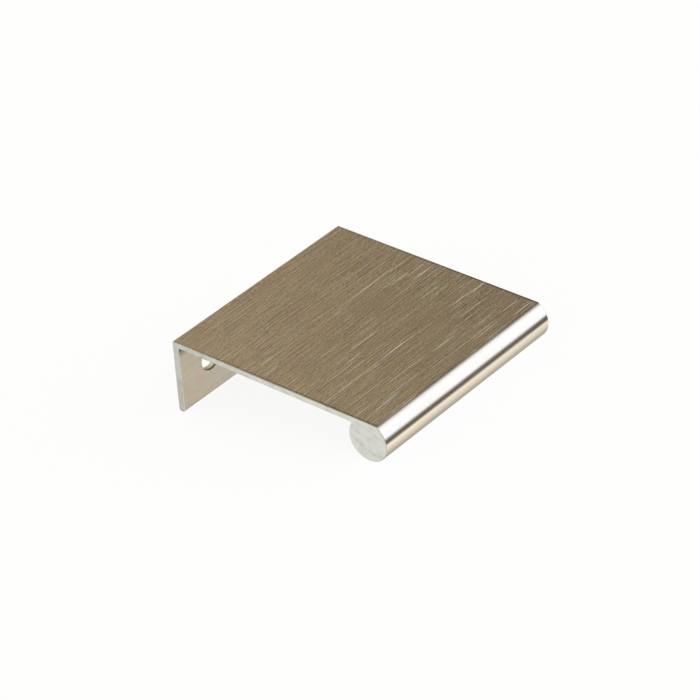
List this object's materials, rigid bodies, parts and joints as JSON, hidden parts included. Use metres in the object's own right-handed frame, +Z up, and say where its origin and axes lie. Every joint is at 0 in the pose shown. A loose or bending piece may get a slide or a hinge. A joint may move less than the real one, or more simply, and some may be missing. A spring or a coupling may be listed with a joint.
{
  "type": "edge tab pull",
  "caption": "Drawer edge pull of one extruded metal length: a flat brushed tab that ends in a round finger bead, hooked over the front's top edge by a drilled flange.",
  "frame": {"origin": "on the floor, under the middle of the part's box, as it rests on the bead and the foot of the flange", "axes": "+X along the extrusion, across the drawer front; -Y to the front, where the finger bead is; +Z up. The tab leans forward by about 9.4 degrees, because the bead is shallower than the flange"},
  "size_m": [0.0382, 0.0408, 0.0122],
  "materials": {
    "brushed_metal": "long-grain brushed on the tab, drawn smooth on the bead, sawn at the ends, warm nickel tone"
  },
  "bodies": {
    "root": {"edge_pull": "brushed_metal"}
  },
  "joints": []
}
